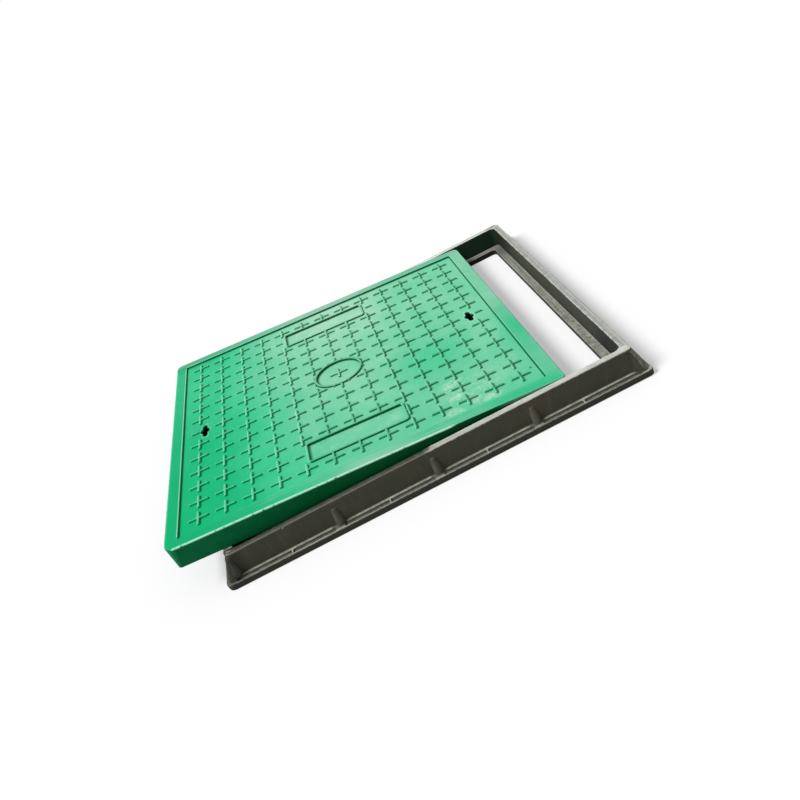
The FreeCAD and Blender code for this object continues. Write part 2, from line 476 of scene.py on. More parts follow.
def key_hole_outline(x):
    """A slot across a round hole, anticlockwise."""
    straight = KEY_SLOT_HALF - KEY_SLOT_RADIUS
    reach = math.degrees(math.acos(KEY_SLOT_RADIUS / KEY_BORE_RADIUS))
    points = []
    for y, radius, start, end in ((straight, KEY_SLOT_RADIUS, 0, 180),
                                  (0, KEY_BORE_RADIUS, 180 - reach, 180 + reach),
                                  (-straight, KEY_SLOT_RADIUS, 180, 360),
                                  (0, KEY_BORE_RADIUS, -reach, reach)):
        points += [Vector(point) for point in arc(x, y, radius, start, end, steps=14)]
    return points


def key_holes():
    """The two key holes, with rounded rims."""
    bm = bmesh.new()
    foot = -COVER_THICKNESS
    for side in (-1, 1):
        add_grown_stack(bm, key_hole_outline(side * KEY_X), [
            (0.9, foot - 2), (0.9, foot - 0.2), (0.0, foot + 0.9), (0.0, FLOOR - KEY_RIM),
            (0.25, FLOOR - 0.35), (0.75, FLOOR - 0.05), (1.2, FLOOR + 0.1), (1.2, FLOOR + 9)])
    return new_piece("key_holes", bm)


def middle_cross():
    """The cross on the ring's floor."""
    bm = bmesh.new()
    add_cross(bm, 0.0, 0.0, BEAD_FLOOR)
    return new_piece("middle_cross", bm)


def make_cover(matrix):
    """The whole cover, with the photographed one's right edge and left foot."""
    cover = cover_slab()
    combine(cover, bead_wells(), "DIFFERENCE")
    raised = crosses()
    combine(raised, places_clear_of_crosses(), "DIFFERENCE")
    combine(cover, raised, "UNION")
    combine(cover, beads(), "UNION")
    combine(cover, middle_cross(), "UNION")
    combine(cover, key_holes(), "DIFFERENCE")
    combine(cover, dents(COVER_DENTS), "DIFFERENCE")
    for vert in cover.data.vertices:
        if vert.co.x > RIGHT_EDGE_FROM:
            vert.co.x += RIGHT_EDGE_OUT - RIGHT_EDGE_SKEW * vert.co.y / COVER_HALF
        elif vert.co.x < LEFT_FOOT_FROM:
            vert.co.x += LEFT_FOOT_IN * abs(vert.co.z / COVER_THICKNESS) ** 3
    settle(cover, matrix)
    return cover


# Frame

def frame_section():
    """The frame's section, from the seat's foot over seat, rim and flange to the outer foot."""
    lean_in = (MOUTH_HALF - SEAT_LEVEL_HALF) / (FRAME_HEIGHT - BASE_THICKNESS)
    top_in = MOUTH_HALF - lean_in * RIM_EDGE
    rim = FRAME_HEIGHT - RIM_EDGE
    base = BASE_THICKNESS
    section = arc(CLEAR_HALF + FRAME_FOOT_EDGE, FRAME_FOOT_EDGE, FRAME_FOOT_EDGE, 270, 180, 2)
    section += arc(CLEAR_HALF + SEAT_EDGE, base - SEAT_EDGE, SEAT_EDGE, 180, 90)
    section += arc(SEAT_LEVEL_HALF - SEAT_FILLET, base + SEAT_FILLET, SEAT_FILLET, 270, 360, 3)
    section += arc(top_in + RIM_EDGE, rim, RIM_EDGE, 180, 90)
    section += arc(WALL_TOP_HALF - RIM_EDGE, rim, RIM_EDGE, 90, 0)
    section += arc(WALL_FOOT_HALF + WALL_FILLET, base + WALL_FILLET, WALL_FILLET, 180, 270, 3)
    section += arc(BASE_HALF - BASE_EDGE, base - BASE_EDGE, BASE_EDGE, 90, 0)
    section += arc(BASE_HALF - FRAME_FOOT_EDGE, FRAME_FOOT_EDGE, FRAME_FOOT_EDGE, 0, -90, 2)
    return section


def frame_corners(half):
    """The corner radii of the frame's outline at a distance out."""
    if half < CLEAR_HALF + 2:
        return CLEAR_CORNER + (half - CLEAR_HALF)
    if half < MOUTH_HALF + 2:
        return MOUTH_CORNER + (half - MOUTH_HALF)
    if half < WALL_FOOT_HALF + 2:
        radius = WALL_CORNER + (half - WALL_TOP_HALF)
        return tuple(radius + wider for wider in WALL_CORNERS_WIDER)
    radius = BASE_CORNER + (half - BASE_HALF)
    return tuple(radius + wider for wider in BASE_CORNERS_WIDER)


def frame_ring():
    """The frame's section carried round a square."""
    rings = []
    for half, height in frame_section():
        points = outline(half, half, frame_corners(half), side_steps=SIDE_STEPS)
        if height > 1.0:
            points = wandered(points, half, height * WANDER_RATE, FRAME_WANDER)
        rings.append((points, height))
    bm = bmesh.new()
    add_stack(bm, rings, loop=True)
    return new_piece("frame_moulding", bm)


def add_leaning_rib(bm, shape, turn, shift=0.0):
    """A rib against the wall, narrower and closer to it towards its rounded top."""
    foot_radius, foot_out, top_radius, top_out, top = shape
    sides = 32
    straight = 6
    rounding = 5
    rounded_share = 0.1
    sunk = 4
    layers = [(0.0, 0.0)]
    for step in range(1, straight):
        layers.append((step / straight * (1 - rounded_share), 0.0))
    for step in range(rounding + 1):
        angle = math.radians(90 * step / rounding)
        layers.append((1 - rounded_share + rounded_share * math.sin(angle), 1 - math.cos(angle)))

    rings = []
    rotation = Matrix.Rotation(math.radians(turn), 2)
    for share, close in layers:
        radius = foot_radius + (top_radius - foot_radius) * share
        radius = radius - min(3.0, 0.8 * top_radius) * close
        out = foot_out + (top_out - foot_out) * share
        height = (BASE_THICKNESS - sunk) + (top - BASE_THICKNESS + sunk) * share
        points = []
        for step in range(sides):
            angle = math.radians(360 * step / sides)
            centre = -out if math.sin(angle) < 1e-6 else -min(out, top_out)
            point = Vector((shift + radius * math.cos(angle), centre + radius * math.sin(angle)))
            points.append(rotation @ point)
        rings.append((points, height))
    add_stack(bm, rings)


def ribs():
    """Three ribs on each side, and a gusset at each corner."""
    bm = bmesh.new()
    for side in range(4):
        shifts = NEAR_RIB_SHIFTS if side == 0 else (0.0, 0.0, 0.0)
        for place, shift in zip((-1, 0, 1), shifts):
            add_leaning_rib(bm, RIB, 90 * side, place * RIB_SPACING + shift)
        add_leaning_rib(bm, GUSSET, 90 * side + 45)
    return new_piece("ribs", bm)


def pockets():
    """Round-ended pockets in the flange, with rounded bottoms."""
    bm = bmesh.new()
    out = WALL_FOOT_HALF + POCKET_INNER_LAND + POCKET_HALF_WIDTH
    corner = BASE_HALF - POCKET_CORNER_LAND
    stops = [-RIB_SPACING, 0.0, RIB_SPACING]
    starts = [-corner] + [stop + POCKET_RIB_CLEAR for stop in stops]
    ends = [stop - POCKET_RIB_CLEAR for stop in stops] + [corner]
    floor = BASE_THICKNESS - POCKET_DEPTH
    profile = [(-1.1, floor), (-0.4, floor + 0.35), (-0.1, floor + 1.2),
               (0.15, BASE_THICKNESS - 0.5), (0.8, BASE_THICKNESS + 0.1),
               (0.8, BASE_THICKNESS + 4)]
    for side in range(4):
        rotation = Matrix.Rotation(math.radians(90 * side), 2)
        for start, end, web in zip(starts, ends, POCKET_WEBS):
            for first, last in ((start, web - POCKET_WEB / 2), (web + POCKET_WEB / 2, end)):
                base = outline((last - first) / 2, POCKET_HALF_WIDTH, POCKET_END_RADIUS,
                               ((first + last) / 2, -out), corner_steps=6)
                rings = []
                for amount, height in profile:
                    points = [rotation @ point for point in grown(base, amount)]
                    rings.append((points, height))
                add_stack(bm, rings)
    return new_piece("pockets", bm)


def make_frame(matrix):
    """The whole frame, with the photographed one's bow, corners and foot on the near side."""
    piece = frame_ring()
    combine(piece, pockets(), "DIFFERENCE")
    combine(piece, ribs(), "UNION")
    combine(piece, dents(FRAME_DENTS), "DIFFERENCE")
    for vert in piece.data.vertices:
        near = part_way(vert.co.y, -250, -320)
        if vert.co.x < -300:
            vert.co.x += NEAR_LEFT_IN * near
        elif vert.co.x > 352:
            vert.co.x -= NEAR_RIGHT_IN * near * part_way(vert.co.y, -352, -337)
        risen = vert.co.z / FRAME_HEIGHT
        if vert.co.y < -300:
            foot = part_way(vert.co.y, -330, -340) * part_way(vert.co.y, -359, -357)
            foot = foot * (vert.co.z > 5)
            out = NEAR_FOOT_OUT + NEAR_FOOT_MORE_OUT_RIGHT * part_way(vert.co.x, 0, 250)
            vert.co.y += NEAR_BOW * risen * (1 - (vert.co.x / BASE_HALF) ** 2)
            vert.co.y -= foot * out * (1 - risen)
    settle(piece, matrix)
    return piece


# Nodes

def tone(colour):
    """A colour given as it looks on a screen, from 0 to 255, made linear for a node."""
    linear = []
    for value in colour:
        share = value / 255
        linear.append(share / 12.92 if share <= 0.04045 else ((share + 0.055) / 1.055) ** 2.4)
    return (*linear, 1.0)


class Nodes:
    """The nodes of a material or world. A tuple given for a level stands for its ease."""

    def __init__(self, owner):
        owner.use_nodes = True
        self.owner = owner
        self.tree = owner.node_tree
        self.tree.nodes.clear()

    def node(self, kind, **settings):
        made = self.tree.nodes.new(kind)
        for key, value in settings.items():
            setattr(made, key, value)
        return made

    def feed(self, socket, value):
        if isinstance(value, bpy.types.NodeSocket):
            self.tree.links.new(value, socket)
        else:
            socket.default_value = value

    def level(self, value):
        return self.ease(*value) if isinstance(value, tuple) else value

    def math(self, operation, first, second=0.0, clamp=False):
        made = self.node("ShaderNodeMath", operation=operation, use_clamp=clamp)
        self.feed(made.inputs[0], self.level(first))
        self.feed(made.inputs[1], self.level(second))
        return made.outputs[0]

    def fold(self, operation, values):
        """One result of several values, taken in order."""
        result = values[0]
        for value in values[1:]:
            result = self.math(operation, result, value)
        return result

    def times(self, *values):
        return self.fold("MULTIPLY", values)

    def plus(self, *values):
        return self.fold("ADD", values)

    def most(self, *values):
        return self.fold("MAXIMUM", values)

    def least(self, *values):
        return self.fold("MINIMUM", values)

    def less(self, first, second):
        return self.math("SUBTRACT", first, second)

    def size(self, value):
        return self.math("ABSOLUTE", value)

    def rise(self, value, start, slope):
        """A level that starts at one value and changes in proportion to another."""
        return self.plus(self.times(value, slope), start)

    def sway(self, pattern, amount):
        """A pattern about its middle, scaled."""
        return self.times(self.less(pattern, 0.5), amount)

    def off(self, value, line):
        """The distance between a value and a line."""
        return self.size(self.less(value, line))

    def away(self, across, along):
        """The distance from the origin of two directions."""
        squares = self.plus(self.times(across, across), self.times(along, along))
        return self.math("SQRT", squares)

    def ease(self, value, low, high):
        """0 below low and 1 above high, or the other way round where low is the larger."""
        made = self.node("ShaderNodeMapRange", interpolation_type="SMOOTHSTEP")
        self.feed(made.inputs["Value"], value)
        made.inputs["From Min"].default_value = min(low, high)
        made.inputs["From Max"].default_value = max(low, high)
        made.inputs["To Min"].default_value = 0.0 if low < high else 1.0
        made.inputs["To Max"].default_value = 1.0 if low < high else 0.0
        return made.outputs["Result"]

    def stretch(self, vector, x, y, z):
        made = self.node("ShaderNodeMapping")
        made.inputs["Scale"].default_value = (x, y, z)
        self.feed(made.inputs["Vector"], vector)
        return made.outputs["Vector"]

    def cloud(self, vector, scale, detail, roughness, twist=0.0):
        made = self.node("ShaderNodeTexNoise")
        self.feed(made.inputs["Vector"], vector)
        made.inputs["Scale"].default_value = scale
        made.inputs["Detail"].default_value = detail
        made.inputs["Roughness"].default_value = roughness
        made.inputs["Distortion"].default_value = twist
        return made.outputs["Fac"]

    def ramp(self, value, stops):
        made = self.node("ShaderNodeValToRGB")
        elements = made.color_ramp.elements
        elements.remove(elements[1])
        elements[0].position = stops[0][0]
        elements[0].color = tone(stops[0][1])
        for position, colour in stops[1:]:
            elements.new(position).color = tone(colour)
        self.feed(made.inputs["Fac"], value)
        return made.outputs["Color"]

    def mix(self, factor, first, second):
        """First where the factor is 0 and second where it is 1; colours as tone takes them."""
        made = self.node("ShaderNodeMix", data_type="RGBA", clamp_factor=True)
        self.feed(made.inputs["Factor"], self.level(factor))
        for index, colour in ((6, first), (7, second)):
            self.feed(made.inputs[index], tone(colour) if isinstance(colour, tuple) else colour)
        return made.outputs[2]

    def matt(self, level):
        """A plain matt grey."""
        made = self.node("ShaderNodeBsdfDiffuse")
        made.inputs["Color"].default_value = (level, level, level, 1.0)
        return made.outputs[0]

    def seen(self):
        """1 where the camera sees a surface itself, mirrored or through glass."""
        path = self.node("ShaderNodeLightPath")
        return self.most(path.outputs["Is Camera Ray"], path.outputs["Is Glossy Ray"],
                         path.outputs["Is Transmission Ray"])


class Moulding(Nodes):
    """A moulding's material, which knows where on its piece a point lies, in metres."""

    def __init__(self, name, matrix):
        super().__init__(bpy.data.materials.new(name))
        self.turn = matrix.to_quaternion()
        back = self.turn.inverted()
        mapping = self.node("ShaderNodeMapping")
        mapping.inputs["Rotation"].default_value = back.to_euler()
        mapping.inputs["Location"].default_value = back @ (matrix.translation * -1)
        self.feed(mapping.inputs["Vector"], self.node("ShaderNodeTexCoord").outputs["Object"])
        self.at = mapping.outputs["Vector"]
        split = self.node("ShaderNodeSeparateXYZ")
        self.feed(split.inputs[0], self.at)
        self.u, self.v, self.w = split.outputs
        self.reach = self.most(self.size(self.u), self.size(self.v))

    def facing(self, direction, low, high):
        """How far a face is turned towards one of the piece's own directions."""
        dot = self.node("ShaderNodeVectorMath", operation="DOT_PRODUCT")
        self.feed(dot.inputs[0], self.node("ShaderNodeNewGeometry").outputs["Normal"])
        dot.inputs[1].default_value = self.turn @ Vector(direction)
        return self.ease(dot.outputs["Value"], low, high)

    def blob(self, centre, reach):
        """1 at a place on the face, easing to 0 at its reach in each direction."""
        across = self.times(self.less(self.u, centre[0]), 1 / reach[0])
        along = self.times(self.less(self.v, centre[1]), 1 / reach[1])
        return self.ease(self.away(across, along), 1.0, 0.0)

    def spots(self, join, places):
        """Some blobs joined by plus or most, each given as centre, reach and weight."""
        return join(*[self.times(self.blob(centre, reach), weight)
                      for centre, reach, weight in places])

    def finish(self, colour, roughness, specular, heights):
        """Heights are (pattern, strength, distance in metres) from broad to fine."""
        shader = self.node("ShaderNodeBsdfPrincipled")
        shader.inputs["Specular IOR Level"].default_value = specular
        normal = None
        for pattern, strength, distance in heights:
            bump = self.node("ShaderNodeBump")
            bump.inputs["Strength"].default_value = strength
            bump.inputs["Distance"].default_value = distance
            self.feed(bump.inputs["Height"], pattern)
            if normal is not None:
                self.feed(bump.inputs["Normal"], normal)
            normal = bump.outputs["Normal"]
        self.feed(shader.inputs["Base Color"], colour)
        self.feed(shader.inputs["Roughness"], roughness)
        self.feed(shader.inputs["Normal"], normal)
        output = self.node("ShaderNodeOutputMaterial")
        self.feed(output.inputs["Surface"], shader.outputs["BSDF"])
        return self.owner


# Green moulding

GREENS = [
    (0.0, (4, 182, 118)), (0.2, (32, 188, 130)), (0.4, (66, 201, 147)), (0.6, (103, 204, 160)),
    (0.75, (129, 211, 172)), (0.9, (155, 218, 185)), (1.0, (174, 222, 194)),
]

# Where the green is paler, or deeper if the weight is negative
PALER_PLACES = [
    ((0.010, -0.318), (0.10, 0.03), 0.24),
    ((0.010, 0.320), (0.14, 0.03), 0.22),
    ((0.155, -0.085), (0.11, 0.12), -0.22),
    ((0.320, -0.11), (0.05, 0.14), -0.24),
    ((0.285, -0.325), (0.14, 0.045), -0.26),
    ((-0.290, 0.325), (0.16, 0.06), -0.26),
]
SCUFFED_PLACES = [
    ((0.190, -0.235), (0.13, 0.10), 0.5),
    ((0.153, -0.288), (0.034, 0.020), 1.0),
    ((0.166, -0.247), (0.030, 0.022), 1.0),
    ((0.190, -0.274), (0.026, 0.030), 1.0),
    ((0.216, -0.286), (0.034, 0.020), 1.0),
    ((0.168, -0.205), (0.040, 0.024), 1.0),
]


def green_scuffs(s):
    """Whitish scuffs towards the near right."""
    area = s.spots(s.most, SCUFFED_PLACES)
    pattern = s.plus(s.cloud(s.at, 120.0, 6.0, 0.8, 0.3), s.times(area, 0.20))
    return s.times((area, 0.0, 0.6), (pattern, 0.52, 0.80))


def green_ground(s, broad, patches, mottle, to_plate):
    """The green itself, palest behind the middle and deepest at the left and near side; the
    paleness is partly bleaching and partly a painted sky reflection.
    """
    u, v = s.u, s.v
    to_right = s.ease(u, 0.05, 0.20)
    # Paleness: partly bleaching, partly a painted sky reflection behind the middle and towards the
    # far side
    paleness = s.times(s.plus((u, -0.27, -0.01), 0.40), 0.55)
    paleness = s.plus(paleness, s.times(to_right, -0.10), s.times(v, s.rise(to_right, 0.58, -0.34)),
                      s.sway(broad, 0.30), s.sway(patches, 0.34), s.sway(mottle, 0.10),
                      s.spots(s.plus, PALER_PLACES),
                      s.times((u, 0.300, 0.304), (v, -0.05, 0.05), 0.09),
                      s.times((u, -0.300, -0.304), -0.08))
    in_plate = s.times((s.size(u), 0.084, 0.078), (to_plate, 0.0265, 0.022))
    residue = s.times(in_plate, (s.cloud(s.at, 45.0, 5.0, 0.65, 0.8), 0.50, 0.66))
    residue = s.most(residue, s.times(s.blob((0.066, -0.224), (0.020, 0.020)), 1.5))
    paleness = s.plus(paleness, s.times(in_plate, 0.03))
    paleness = s.math("ADD", paleness, s.times(residue, 0.12), clamp=True)
    return s.ramp(paleness, GREENS)


def green_border(s, colour):
    """The border strip: darker than the panel, greyer along the far side, rubbed on the near."""
    u, v = s.u, s.v
    border = s.ease(s.reach, 0.3020, 0.3035)
    colour = s.mix(s.times(border, 0.16), colour, (30, 140, 96))
    colour = s.mix(s.times(border, (v, 0.296, 0.303), 0.4), colour, (126, 172, 158))
    streaks = s.cloud(s.stretch(s.at, 5.0, 420.0, 1.0), 1.0, 2.0, 0.5)
    lightened = s.times((streaks, 0.56, 0.68), (v, -0.286, -0.294), (v, -0.321, -0.316),
                     (u, -0.25, -0.15), (u, 0.25, 0.10), 0.45)
    return s.mix(lightened, colour, (176, 224, 198))


def green_worn_edges(s, colour, chatter, worn_here):
    """The border's outer and inner top edges, pale where they are worn."""
    u, v, w, reach = s.u, s.v, s.w, s.reach
    much_worn = s.most((v, -0.300, -0.315), s.times((u, -0.300, -0.315), 0.6))
    much_worn = s.times(much_worn, s.rise(worn_here, 0.25, 0.75))
    outer = s.times((reach, 0.3208, 0.3234), (w, -0.0034, -0.0014),
                    s.rise((chatter, 0.36, 0.55), 0.25, 0.7),
                    s.rise(much_worn, 0.08, 0.92), s.rise((u, -0.16, -0.06), 1.0, -0.5))
    bare = s.mix((u, -0.2, 0.1), (150, 232, 196), (196, 232, 214))
    colour = s.mix(outer, colour, bare)
    inner = s.times((reach, 0.3022, 0.3028), (reach, 0.3050, 0.3038), (w, -0.0020, -0.0008),
                    (v, -0.302, -0.296), s.rise((u, 0.1, -0.2), 0.15, 0.60))
    return s.mix(inner, colour, (164, 236, 200))


def green_raised_tops(s, colour, chatter, to_ring, to_plate):
    """Tops of crosses and beads: a painted highlight at the left, painted shade at the right and on
    the beads, and on each arm a painted highlight on its left half and painted shade on its right.
    """
    u = s.u
    raised = s.times((s.w, -0.0014, -0.0004), (s.reach, 0.3025, 0.3015))
    # Painted highlight on the raised tops at the left
    lightened = s.times(raised, (chatter, 0.25, 0.6), (u, 0.05, -0.25), 0.30)
    colour = s.mix(lightened, colour, (150, 228, 192))
    on_bead = s.most((to_ring, 0.0034, 0.0028),
                     s.times((s.size(u), 0.088, 0.086), (to_plate, 0.024, 0.0255)))
    # Painted shade on the raised tops at the right and on the bead tops
    dull = s.times(raised, s.most(s.times((u, -0.10, 0.14), 0.42), s.times(on_bead, 0.34)))
    colour = s.mix(dull, colour, (30, 136, 92))

    pitch = PITCH * MM
    on_cross = s.times(raised, s.less(1.0, on_bead))
    from_arm = s.less(u, s.times(s.math("ROUND", s.times(u, 1 / pitch)), pitch))
    # Painted shade on the right half of each cross arm's top
    right_half = s.times((from_arm, -0.0006, 0.0006), (from_arm, 0.0030, 0.0026), on_cross,
                         (u, -0.02, 0.09), 0.75)
    colour = s.mix(right_half, colour, (16, 118, 74))
    # Painted highlight on the left half of each cross arm's top
    left_half = s.times((from_arm, -0.0004, -0.0010), (from_arm, -0.0030, -0.0026), on_cross,
                        (u, 0.22, 0.04), 0.5)
    return s.mix(left_half, colour, (170, 242, 208))


def green_dirt_and_shade(s, colour):
    """Dirt and painted shade in the corner between panel and border, and a painted shade line at
    the far left.
    """
    low = s.ease(s.w, -0.0008, -0.0016)
    # Dirt and painted shade along the foot of the step
    colour = s.mix(s.times((s.reach, 0.3000, 0.3012), low, 0.75), colour, (6, 104, 62))
    colour = s.mix(s.times((s.v, 0.2968, 0.2990), low, 0.8), colour, (14, 116, 72))
    to_line = s.off(s.v, PANEL_LINE)
    # Painted shade line where the far border meets the left one
    far_left = s.times((s.u, -0.3010, -0.3030), (to_line, 0.0034, 0.0016), 0.7)
    return s.mix(far_left, colour, (14, 128, 80))


def green_key_rims(s, colour, chatter):
    """Pale rims round the key holes."""
    across = s.less(s.size(s.u), KEY_LINE)
    to_bore = s.less(s.away(across, s.v), KEY_BORE_RADIUS * MM)
    slot_end = (KEY_SLOT_HALF - KEY_SLOT_RADIUS + 0.5) * MM
    to_slot = s.less(s.most(s.size(across), s.less(s.size(s.v), slot_end)), KEY_SLOT_RADIUS * MM)
    rim = s.times((s.least(to_bore, to_slot), 0.0026, 0.0012), (s.w, -0.0052, -0.0042),
                  (chatter, 0.30, 0.60), s.rise((s.u, -0.1, 0.1), 0.40, 0.27))
    return s.mix(rim, colour, (196, 230, 210))


def green_shaded_sides(s, top, mottle, to_ring, to_plate):
    """Sides of cover, beads and crosses, darkened with painted shade, and rubbed paler near the
    cover's right end.
    """
    u, v = s.u, s.v
    # Painted shade on the sides of the steps and crosses, greener at the left
    step = s.mix(0.26, s.mix((u, -0.06, -0.26), (6, 120, 74), (0, 156, 98)), top)
    bead_side = s.most((to_ring, 0.0040, 0.0034),
                       s.times((s.size(u), 0.089, 0.088), (to_plate, 0.023, 0.0245),
                               (to_plate, 0.031, 0.030)))
    # Deeper painted shade on the sides of the beads
    step = s.mix(s.times(bead_side, 0.85), step, (0, 88, 48))
    outer = s.ease(s.reach, 0.3185, 0.3215)
    # Painted shade on the cover's outer sides, deepest towards the near right
    side = s.mix(outer, step, s.mix((u, -0.30, -0.05), (10, 124, 76), (0, 102, 52)))
    side = s.mix(s.times((mottle, 0.45, 0.7), 0.3), side, (2, 84, 44))
    near_right = s.times(outer, (v, -0.310, -0.318), (u, 0.0, 0.15))
    side = s.mix(near_right, side, (0, 74, 38))
    rubbed_end = s.times((u, 0.20, 0.27), (s.w, -0.0080, -0.0050), outer, 0.8)
    return s.mix(rubbed_end, side, (120, 196, 160))


def green_edge_lines(s, colour, top, chatter, worn_here, to_ring):
    """Lines along the edges: a painted highlight on faces turned to the left, painted shade on the
    panel's step, and the bare near arris.
    """
    u, w, reach = s.u, s.w, s.reach
    # Painted highlight on step and cross sides turned to the left
    lit = s.times(s.facing((-1, 0, 0), 0.25, 0.60), (reach, 0.3010, 0.3000),
                  (w, -0.0030, -0.0016), (to_ring, 0.0034, 0.0042), 0.8)
    colour = s.mix(lit, colour, s.mix(0.6, top, (176, 246, 214)))
    # Painted shade on the panel's step
    step = s.times((reach, 0.3000, 0.3010), (reach, 0.3040, 0.3034), (w, -0.0004, -0.0010), 0.85)
    colour = s.mix(step, colour, s.mix((u, -0.25, -0.29), (2, 98, 56), (0, 126, 68)))
    arris = s.times((s.v, -0.3215, -0.3228), (w, -0.0030, -0.0016), worn_here,
                    (chatter, 0.30, 0.50), 0.9)
    return s.mix(arris, colour, s.mix((u, -0.2, 0.1), (176, 252, 216), (200, 244, 220)))


def green_moulding(matrix):
    """Green moulding: deep green with painted shade on its sides, steps and hole walls, paler on
    top partly from bleaching and partly from a painted sky reflection, and scuffed where walked on.
    """
    s = Moulding("green_moulding_look", matrix)
    broad = s.cloud(s.at, 5.0, 2.0, 0.5)
    patches = s.cloud(s.at, 16.0, 4.0, 0.6, 0.4)
    mottle = s.cloud(s.at, 70.0, 3.0, 0.6)
    chatter = s.cloud(s.at, 130.0, 4.0, 0.7)
    specks = s.cloud(s.at, 320.0, 3.0, 0.7)
    grain = s.cloud(s.at, 900.0, 2.0, 0.6)
    to_ring = s.off(s.away(s.u, s.v), RING_LINE)
    to_plate = s.off(s.size(s.v), PLATE_LINE)
    worn_here = s.ease(s.u, 0.150, 0.132)

    scuffs = green_scuffs(s)
    top = green_ground(s, broad, patches, mottle, to_plate)
    top = s.mix(s.times(scuffs, 0.75), top, (198, 230, 210))
    top = green_border(s, top)
    top = green_worn_edges(s, top, chatter, worn_here)
    top = green_raised_tops(s, top, chatter, to_ring, to_plate)
    top = green_dirt_and_shade(s, top)
    top = green_key_rims(s, top, chatter)
    side = green_shaded_sides(s, top, mottle, to_ring, to_plate)
    # Faces turned away from up take the side colour with its painted shade
    colour = s.mix(s.facing((0, 0, 1), 0.45, 0.85), side, top)
    colour = green_edge_lines(s, colour, top, chatter, worn_here, to_ring)
    # Painted shade deep inside the key holes
    hole_wall_shade = s.times((s.w, -0.0052, -0.0080), (s.reach, 0.30, 0.29))
    colour = s.mix(hole_wall_shade, colour, (4, 40, 24))

    rough = s.plus(s.rise(patches, 0.46, 0.16), s.times(scuffs, 0.2))
    rough = s.math("ADD", rough, s.sway(specks, 0.1), clamp=True)
    return s.finish(colour, rough, 0.06, [
        (broad, 0.25, 0.004), (mottle, 0.12, 0.0008), (specks, 0.18, 0.0003),
        (grain, 0.22, 0.00012)])


# Charcoal moulding

RIM_CHIPS = [
    ((-0.3310, -0.3325), (0.007, 0.004), 1.0),
    ((-0.3355, -0.3400), (0.006, 0.005), 1.0),
]


def charcoal_walls(s, patches, streaks):
    """Charcoal with brownish patches, with painted shade inside the mouth and on the face below the
    seat's inner edge.
    """
    v, w, reach = s.v, s.w, s.reach
    wall = s.mix((patches, 0.42, 0.66), (76, 77, 66), (84, 79, 66))
    wall = s.mix(s.times((streaks, 0.5, 0.72), 0.35), wall, (100, 101, 90))
    # Painted shade on the mouth's inner walls, darkest at the far side
    inside = s.ease(reach, 0.3365, 0.3335)
    inner = s.mix((v, 0.15, 0.30), (56, 60, 50), (32, 38, 30))
    inner = s.mix((v, 0.318, 0.326), inner, (28, 50, 37))
    inner = s.mix(s.times((v, -0.19, -0.27), 0.85), inner, (26, 29, 25))
    wall = s.mix(s.times(inside, (w, 0.010, 0.013)), wall, inner)
    wall = s.mix(s.times(inside, (w, 0.0170, 0.0120), 0.6), wall, (34, 36, 30))
    # Painted shade on the face below the seat's inner edge
    front_edge = s.times((reach, 0.3140, 0.3125), (w, 0.0115, 0.0100))
    return s.mix(front_edge, wall, (34, 34, 29))


def charcoal_ribs(s, wall, streaks, corner, near_left):
    """Ribs and gussets with painted highlights, the gussets lit on their sunward side and given
    painted shade on the other, and the base's side stays dark.
    """
    w, reach = s.w, s.reach
    # Painted highlight on the ribs
    ribbed = s.times((reach, 0.3442, 0.3460), (w, 0.012, 0.018), (w, 0.038, 0.030), 0.18)
    wall = s.mix(ribbed, wall, (108, 109, 98))
    gusset = s.times((corner, 0.3270, 0.3330), (w, 0.0115, 0.013), (w, 0.0470, 0.0450))
    # Painted light and shade on the gussets by the way they face the lamp
    sunward = s.facing((1, 0, 0), -0.10, 0.35)
    lit = s.mix(sunward, (54, 54, 46), (112, 114, 105))
    wall = s.mix(s.times(gusset, 0.7), wall, lit)
    smears = s.times(gusset, sunward, (streaks, 0.44, 0.60), 0.7)
    wall = s.mix(smears, wall, (176, 177, 168))
    dark = s.mix((streaks, 0.5, 0.66), (52, 52, 44), (70, 70, 61))
    wall = s.mix(s.times(near_left, (w, 0.049, 0.046), 0.8), wall, dark)
    base_side = s.times((reach, 0.3575, 0.3590), (w, 0.0100, 0.0088), 0.75)
    return s.mix(base_side, wall, (56, 57, 49))


def charcoal_flange(s, mottle, chatter, corner, near_left):
    """Light lands and webs, painted shadow round the ribs' feet, and darker pockets."""
    pale = (196, 197, 186)
    land = s.mix((mottle, 0.35, 0.65), (136, 137, 126), (166, 167, 156))
    rubbed_here = s.times((s.u, -0.245, -0.225), (s.u, -0.165, -0.180))
    outer = s.times((s.reach, 0.3555, 0.3568), (chatter, 0.38, 0.60),
                    s.rise(rubbed_here, 0.3, 0.5))
    land = s.mix(outer, land, pale)
    to_web = s.least(s.off(corner, 0.0817), s.off(corner, 0.2455))
    land = s.mix(s.times((to_web, 0.009, 0.003), (chatter, 0.34, 0.56), 0.5), land, pale)
    to_rib = s.least(corner, s.off(corner, RIB_LINE))
    # Painted shadow round the feet of the ribs
    rib_foot_shadow = s.times((to_rib, 0.0150, 0.0105), (s.reach, 0.3570, 0.3545), 0.75)
    land = s.mix(rib_foot_shadow, land, (72, 73, 64))
    land = s.mix(s.times(near_left, 0.7), land, (74, 75, 66))
    pocket = s.mix((mottle, 0.40, 0.62), (82, 83, 73), (104, 105, 94))
    return s.mix((s.w, 0.0106, 0.0096), land, pocket)


